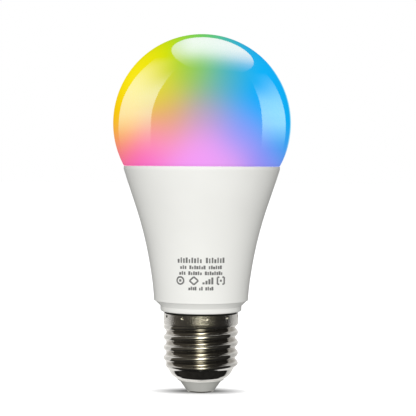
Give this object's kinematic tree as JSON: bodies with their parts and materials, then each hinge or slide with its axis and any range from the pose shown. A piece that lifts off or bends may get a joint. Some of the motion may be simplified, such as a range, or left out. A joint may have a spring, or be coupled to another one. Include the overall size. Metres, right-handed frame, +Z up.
{
  "type": "smart light bulb",
  "caption": "Colour-changing wireless LED bulb: opal sphere dome on a flared white body with a threaded metal lamp cap, driver and radio boards inside.",
  "frame": {"origin": "centre of the bottom contact's flat face, the lowest point of the bulb", "axes": "+Z up along the bulb's axis from the cap to the dome; -Y is the printed front"},
  "size_m": [0.062, 0.062, 0.1248],
  "materials": {
    "diffuser_dome": "opal, satin gloss",
    "body_sleeve": "smooth satin white",
    "screw_shell": "rolled sheet, bright nickel plate",
    "cap_insulator": "light grey moulding",
    "centre_contact": "nickel plate",
    "heat_sink_cup": "spun, matt",
    "thermal_pad": "soft grey-blue silicone",
    "led_board": "white solder mask on aluminium",
    "led_frames": "white moulding",
    "warm_leds": "amber resin",
    "cool_leds": "yellow resin",
    "red_leds": "clear resin over red chip",
    "green_leds": "clear resin over green chip",
    "blue_leds": "clear resin over blue chip",
    "board_screws": "zinc plate",
    "dome_adhesive": "white silicone",
    "insulating_liner": "thin translucent sheet",
    "driver_board": "bare laminate, buff",
    "input_capacitor": "black sleeve",
    "output_capacitor": "dark green sleeve",
    "transformer_core": "sintered ferrite",
    "transformer_bobbin": "black moulding",
    "transformer_winding": "yellow tape over wire",
    "transformer_pins": "tinned",
    "filter_inductor": "black shrink sleeve",
    "film_capacitor": "red epoxy box",
    "bridge_rectifier": "black moulding, tinned legs",
    "power_chip": "black moulding, tinned legs",
    "dimmer_chip": "black moulding, tinned legs",
    "surge_varistor": "blue epoxy",
    "fuse_resistor": "green-grey lacquer",
    "chip_components": "ceramic, tinned ends",
    "link_header": "black moulding",
    "link_pins": "gilt",
    "solder_joints": "bright solder",
    "wireless_board": "green solder mask",
    "shield_can": "tinned steel",
    "wireless_chip": "black moulding",
    "aerial_trace": "gilt copper",
    "radio_header": "black moulding",
    "radio_pins": "gilt",
    "live_lead": "red sleeve over tinned wire",
    "return_lead": "tinned wire"
  },
  "bodies": {
    "root": {"diffuser_dome": "diffuser_dome", "body_sleeve": "body_sleeve", "screw_shell": "screw_shell", "cap_insulator": "cap_insulator", "centre_contact": "centre_contact", "heat_sink_cup": "heat_sink_cup", "thermal_pad": "thermal_pad", "led_board": "led_board", "led_frames": "led_frames", "warm_leds": "warm_leds", "cool_leds": "cool_leds", "red_leds": "red_leds", "green_leds": "green_leds", "blue_leds": "blue_leds", "board_screws": "board_screws", "dome_adhesive": "dome_adhesive", "insulating_liner": "insulating_liner", "driver_board": "driver_board", "input_capacitor": "input_capacitor", "output_capacitor": "output_capacitor", "transformer_core": "transformer_core", "transformer_bobbin": "transformer_bobbin", "transformer_winding": "transformer_winding", "transformer_pins": "transformer_pins", "filter_inductor": "filter_inductor", "film_capacitor": "film_capacitor", "bridge_rectifier": "bridge_rectifier", "power_chip": "power_chip", "dimmer_chip": "dimmer_chip", "surge_varistor": "surge_varistor", "fuse_resistor": "fuse_resistor", "chip_components": "chip_components", "link_header": "link_header", "link_pins": "link_pins", "solder_joints": "solder_joints", "wireless_board": "wireless_board", "shield_can": "shield_can", "wireless_chip": "wireless_chip", "aerial_trace": "aerial_trace", "radio_header": "radio_header", "radio_pins": "radio_pins", "live_lead": "live_lead", "return_lead": "return_lead"}
  },
  "joints": []
}
